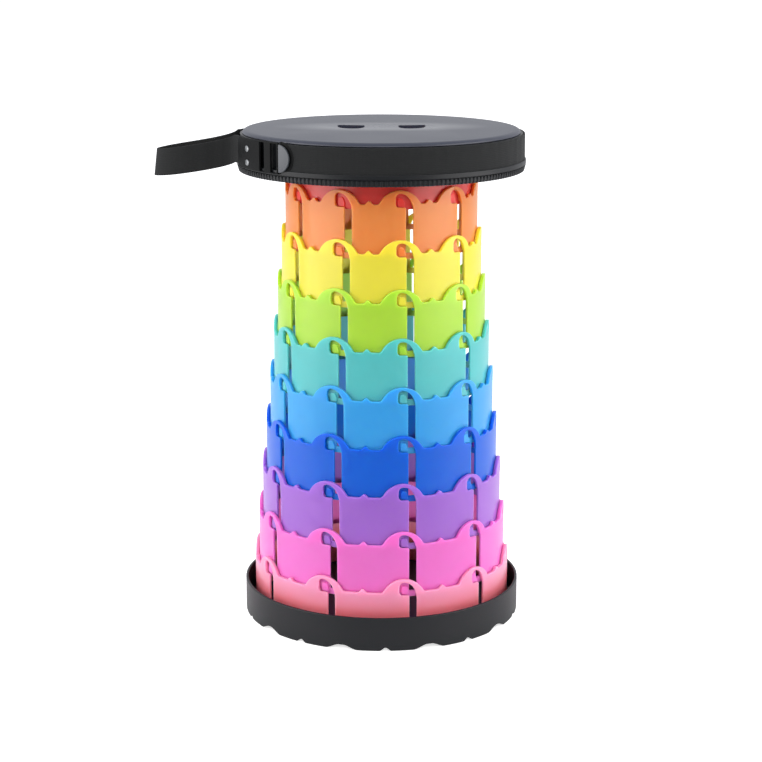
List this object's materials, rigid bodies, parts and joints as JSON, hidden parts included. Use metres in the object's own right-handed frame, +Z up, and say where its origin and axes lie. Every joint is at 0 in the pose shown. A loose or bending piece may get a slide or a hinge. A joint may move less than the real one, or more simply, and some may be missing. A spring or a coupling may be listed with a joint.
{
  "type": "telescopic stool",
  "caption": "Collapsible round stool: nested plastic rings with hooked windows and pegs on a base tray, carrying a round seat with a webbing strap and carry loop.",
  "frame": {"origin": "on the stool's axis, at the level of the ground under the base", "axes": "+Z up along the axis, front towards -Y, carry loop towards -X"},
  "size_m": [0.3255, 0.2546, 0.44],
  "materials": {
    "red_plastic": "smooth moulded red plastic with a soft sheen",
    "orange_plastic": "smooth moulded orange plastic with a soft sheen",
    "yellow_plastic": "smooth moulded yellow plastic with a soft sheen",
    "lime_plastic": "smooth moulded lime plastic with a soft sheen",
    "aqua_plastic": "smooth moulded aqua plastic with a soft sheen",
    "sky_plastic": "smooth moulded sky plastic with a soft sheen",
    "royal_plastic": "smooth moulded royal plastic with a soft sheen",
    "violet_plastic": "smooth moulded violet plastic with a soft sheen",
    "pink_plastic": "smooth moulded pink plastic with a soft sheen",
    "salmon_plastic": "smooth moulded salmon plastic with a soft sheen",
    "black_plastic": "fine satin black moulded plastic",
    "lid_plastic": "satin charcoal moulded plastic",
    "tab_plastic": "smooth light grey moulded plastic",
    "webbing": "black woven webbing",
    "stud_metal": "bright plain metal"
  },
  "bodies": {
    "base": {"base_tray": "black_plastic", "ring_10": "salmon_plastic"},
    "stage_09": {"ring_09": "pink_plastic"},
    "stage_08": {"ring_08": "violet_plastic"},
    "stage_07": {"ring_07": "royal_plastic"},
    "stage_06": {"ring_06": "sky_plastic"},
    "stage_05": {"ring_05": "aqua_plastic"},
    "stage_04": {"ring_04": "lime_plastic"},
    "stage_03": {"ring_03": "yellow_plastic"},
    "stage_02": {"ring_02": "orange_plastic"},
    "seat": {"ring_01": "red_plastic", "seat_lid": "lid_plastic", "seat_rim": "black_plastic", "strap_band": "webbing", "strap_loop": "webbing", "strap_buckle": "black_plastic", "strap_tab": "tab_plastic", "strap_stud_upper": "stud_metal", "strap_stud_lower": "stud_metal"}
  },
  "joints": [
    {"name": "slide_09", "type": "slide", "parent": "base", "child": "stage_09", "axis": [0, 0, 1], "range_m": [-0.0403, 0.0015]},
    {"name": "slide_08", "type": "slide", "parent": "stage_09", "child": "stage_08", "axis": [0, 0, 1], "range_m": [-0.0418, 0.0015]},
    {"name": "slide_07", "type": "slide", "parent": "stage_08", "child": "stage_07", "axis": [0, 0, 1], "range_m": [-0.0418, 0.0015]},
    {"name": "slide_06", "type": "slide", "parent": "stage_07", "child": "stage_06", "axis": [0, 0, 1], "range_m": [-0.0418, 0.0015]},
    {"name": "slide_05", "type": "slide", "parent": "stage_06", "child": "stage_05", "axis": [0, 0, 1], "range_m": [-0.0418, 0.0015]},
    {"name": "slide_04", "type": "slide", "parent": "stage_05", "child": "stage_04", "axis": [0, 0, 1], "range_m": [-0.0418, 0.0015]},
    {"name": "slide_03", "type": "slide", "parent": "stage_04", "child": "stage_03", "axis": [0, 0, 1], "range_m": [-0.0418, 0.0015]},
    {"name": "slide_02", "type": "slide", "parent": "stage_03", "child": "stage_02", "axis": [0, 0, 1], "range_m": [-0.0418, 0.0015]},
    {"name": "slide_seat", "type": "slide", "parent": "stage_02", "child": "seat", "axis": [0, 0, 1], "range_m": [-0.0403, 0.0015]}
  ]
}
